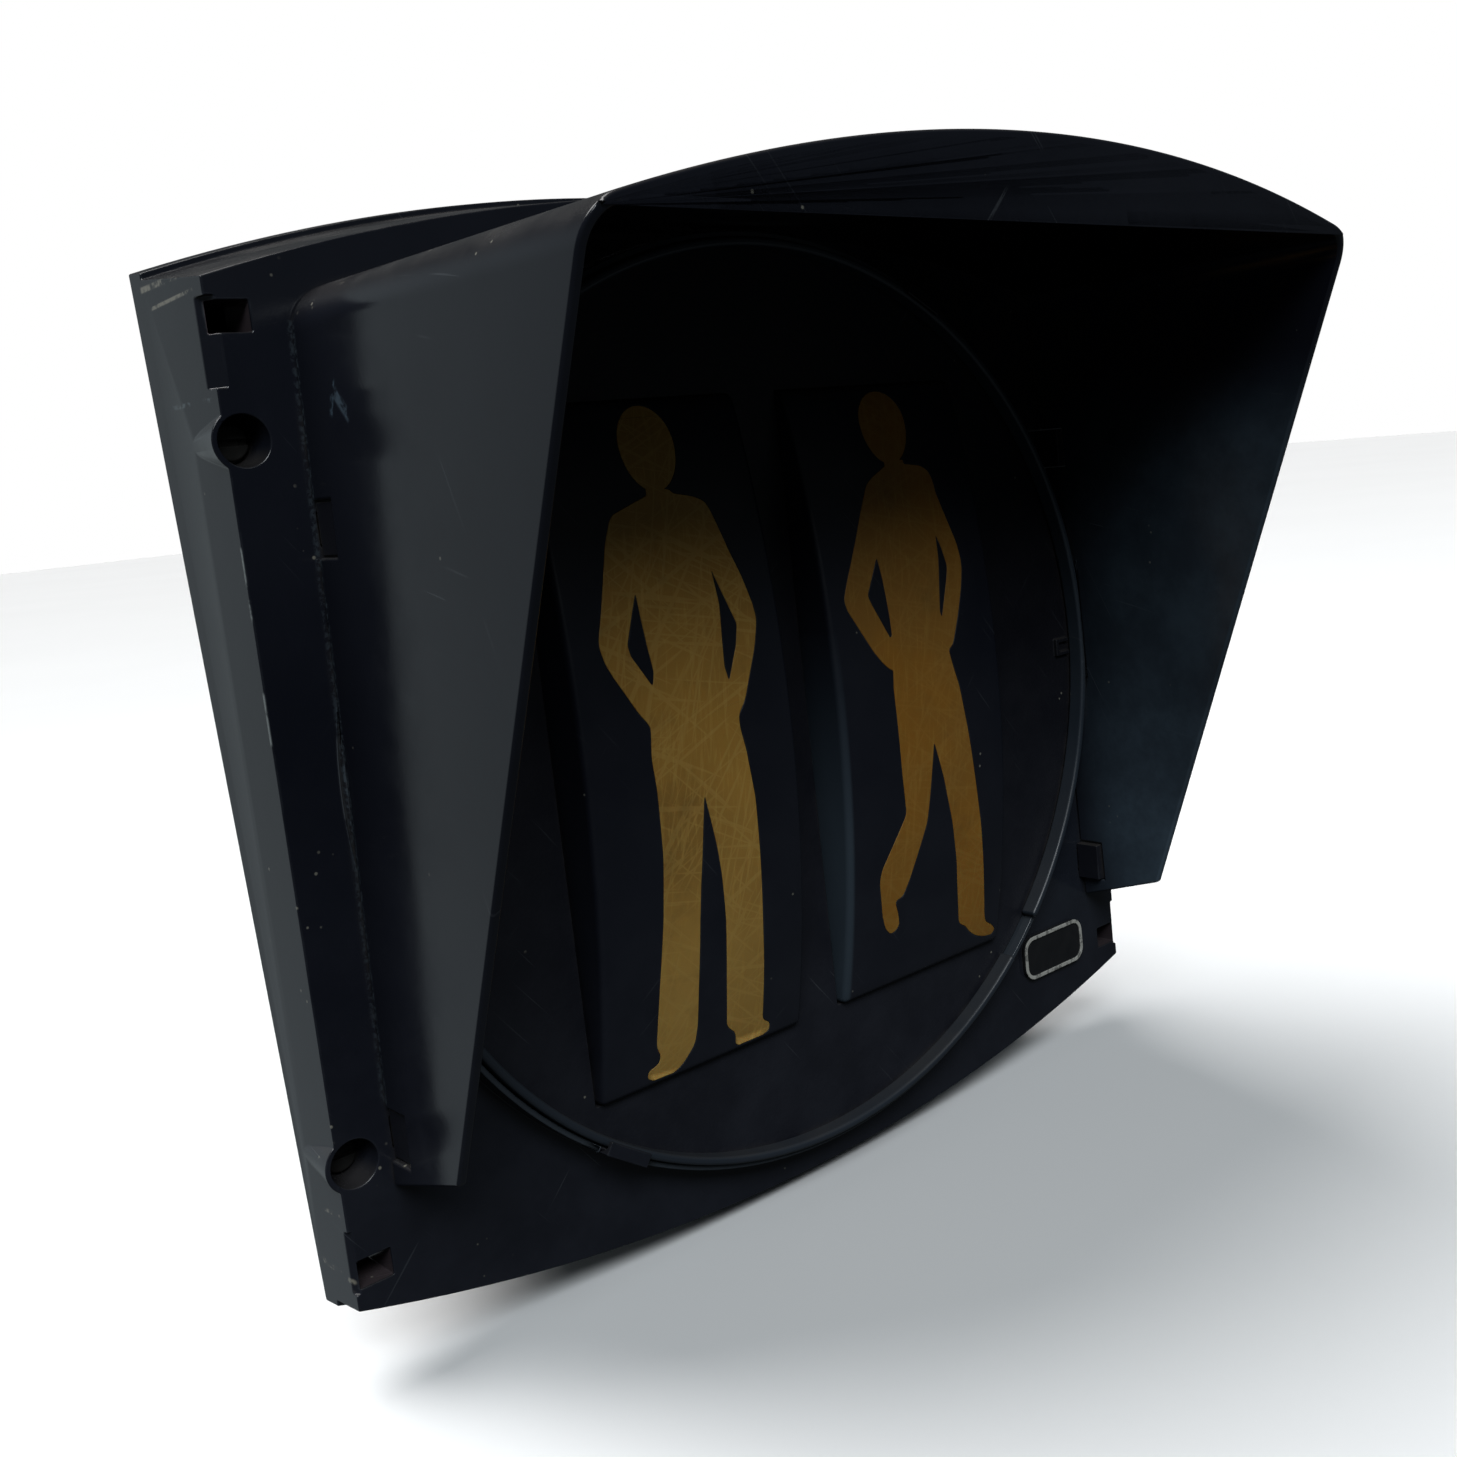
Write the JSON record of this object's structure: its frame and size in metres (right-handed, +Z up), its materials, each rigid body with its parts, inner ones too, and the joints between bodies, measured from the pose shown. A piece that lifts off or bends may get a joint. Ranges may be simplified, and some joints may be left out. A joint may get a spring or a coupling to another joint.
{
  "type": "pedestrian signal head",
  "caption": "Pedestrian signal head with a hinged door, deep hood, split retaining ring, amber standing and walking figures on curved tiles, and a tapered rear casing.",
  "frame": {"origin": "centre of the rear mounting face, on the mounting plate", "axes": "+Z up; the door, lenses and hood face -Y; +Y points out of the rear mounting face into the wall or pole; +X is the hinge side"},
  "size_m": [0.263, 0.214, 0.2513],
  "materials": {
    "housing": "dark navy moulded plastic, satin, dusty in the corners",
    "trim": "black moulded plastic",
    "disc": "black plastic with a fine grained texture",
    "mask": "very dark navy, semi-gloss",
    "amber_lens": "translucent amber, finely scratched",
    "badge": "black plate with an off-white painted border",
    "rubber": "black rubber",
    "steel": "plain steel, slightly tarnished",
    "dark_steel": "blackened steel, grimy",
    "zinc_plate": "zinc-plated sheet steel",
    "reflector": "polished aluminium sheet",
    "ceramic": "cream glazed ceramic",
    "brass": "tarnished brass",
    "bulb_glass": "clear glass",
    "cable": "black cable sheath",
    "terminal": "cream moulded plastic"
  },
  "bodies": {
    "root": {"rear_casing": "housing", "mount_plate": "zinc_plate", "mount_bolt_1": "steel", "mount_bolt_2": "steel", "mount_bolt_3": "steel", "mount_bolt_4": "steel", "lamp_bracket": "zinc_plate", "bracket_screw_1": "steel", "bracket_screw_2": "steel", "bracket_screw_3": "steel", "bracket_screw_4": "steel", "standing_reflector": "reflector", "walking_reflector": "reflector", "standing_lampholder": "ceramic", "walking_lampholder": "ceramic", "standing_bulb_cap": "brass", "walking_bulb_cap": "brass", "standing_bulb_glass": "bulb_glass", "walking_bulb_glass": "bulb_glass", "standing_lead": "cable", "walking_lead": "cable", "partition": "trim", "terminal_block": "terminal", "cable_gland": "trim", "gland_nut": "trim", "catch_upper": "zinc_plate", "catch_lower": "zinc_plate", "hinge_pin_upper": "steel", "hinge_pin_lower": "steel"},
    "door": {"door_frame": "housing", "hood": "housing", "hood_clip_left_upper": "trim", "hood_clip_left_lower": "trim", "hood_clip_right_upper": "trim", "hood_clip_right_lower": "trim", "lens_disc": "disc", "lens_gasket": "rubber", "retaining_ring": "housing", "standing_mask": "mask", "standing_lens": "amber_lens", "walking_mask": "mask", "walking_lens": "amber_lens", "emblem_plate": "badge", "rim_gasket": "rubber"},
    "screw_upper": {"screw_upper": "dark_steel"},
    "screw_lower": {"screw_lower": "dark_steel"}
  },
  "joints": [
    {"name": "door_hinge", "type": "hinge", "parent": "root", "child": "door", "pos_m": [0.1305, -0.085, 0], "axis": [0, 0, 1], "range_deg": [0, 110]},
    {"name": "screw_upper_turn", "type": "hinge", "parent": "door", "child": "screw_upper", "pos_m": [-0.1213, -0.112, 0.0725], "axis": [0, 1, 0], "range_deg": [0, 90]},
    {"name": "screw_lower_turn", "type": "hinge", "parent": "door", "child": "screw_lower", "pos_m": [-0.1213, -0.112, -0.0725], "axis": [0, 1, 0], "range_deg": [0, 90]}
  ]
}
